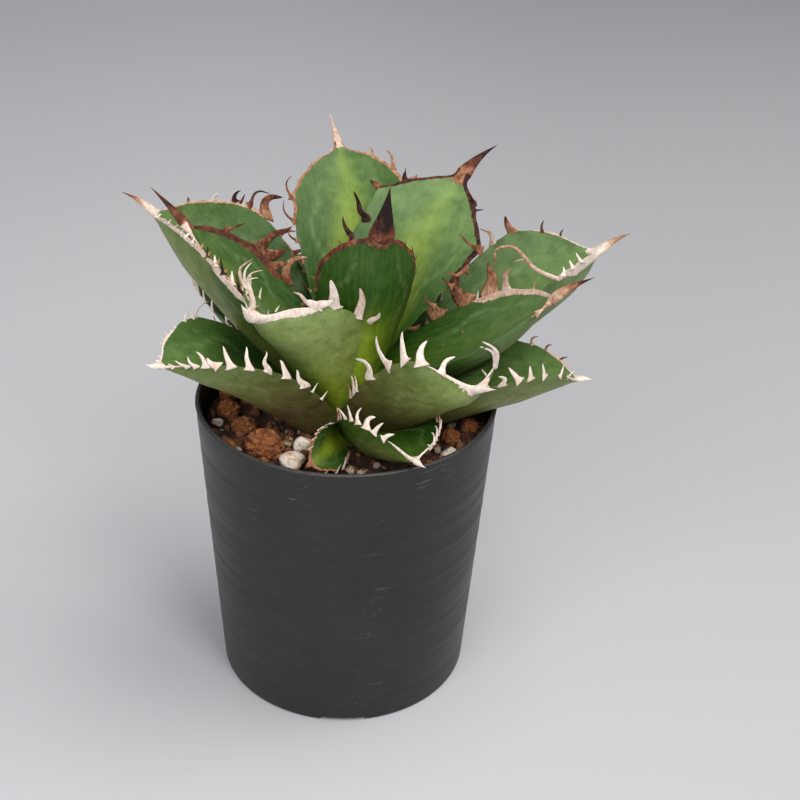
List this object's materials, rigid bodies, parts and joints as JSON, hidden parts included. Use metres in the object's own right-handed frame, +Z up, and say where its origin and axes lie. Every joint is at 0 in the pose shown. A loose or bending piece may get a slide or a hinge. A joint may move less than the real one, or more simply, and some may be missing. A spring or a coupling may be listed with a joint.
{
  "type": "potted agave",
  "caption": "Small succulent rosette of thick, toothed, spine-tipped leaves, rooted in gritty mix with loose stones in a plain tapered plastic pot.",
  "frame": {"origin": "middle of the pot's underside, on the surface that it stands on", "axes": "+Z up along the pot's axis; -Y towards the side with the small front leaf"},
  "size_m": [0.1783, 0.1325, 0.1991],
  "materials": {
    "leaf": "waxy, satin plant skin, green with a yellow-green midstripe, with corky teeth and spines, bone white to dark brown",
    "bud": "waxy, satin plant skin of the rolled young leaves",
    "pot_plastic": "matte charcoal moulded plastic with light scuffs",
    "potting_mix": "dry gritty granules",
    "baked_clay": "rough red-brown baked clay granules",
    "pumice": "rough cream pumice",
    "stem_and_roots": "fibrous stem and fleshy roots"
  },
  "bodies": {
    "root": {"bud_spear": "bud", "clay_clump_1": "baked_clay", "clay_clump_10": "baked_clay", "clay_clump_11": "baked_clay", "clay_clump_12": "baked_clay", "clay_clump_13": "baked_clay", "clay_clump_2": "baked_clay", "clay_clump_3": "baked_clay", "clay_clump_4": "baked_clay", "clay_clump_5": "baked_clay", "clay_clump_6": "baked_clay", "clay_clump_7": "baked_clay", "clay_clump_8": "baked_clay", "clay_clump_9": "baked_clay", "leaf_01_centre_front": "leaf", "leaf_02_upright_right": "leaf", "leaf_03_upright_back": "leaf", "leaf_04_inner_left": "leaf", "leaf_05_inner_right": "leaf", "leaf_06_outer_left": "leaf", "leaf_07_front_left": "leaf", "leaf_08_outer_right": "leaf", "leaf_09_back_right": "leaf", "leaf_10_back_left": "leaf", "leaf_11_low_left_back": "leaf", "leaf_12_front_right": "leaf", "leaf_13_low_left": "leaf", "leaf_14_low_right": "leaf", "leaf_15_low_back": "leaf", "leaf_16_low_front": "leaf", "leaf_17_low_back_right": "leaf", "leaf_18_low_back_left": "leaf", "leaf_19_small_front": "leaf", "pot": "pot_plastic", "potting_mix": "potting_mix", "pumice_stone_1": "pumice", "pumice_stone_2": "pumice", "pumice_stone_3": "pumice", "pumice_stone_4": "pumice", "pumice_stone_5": "pumice", "stem_with_roots": "stem_and_roots"}
  },
  "joints": []
}
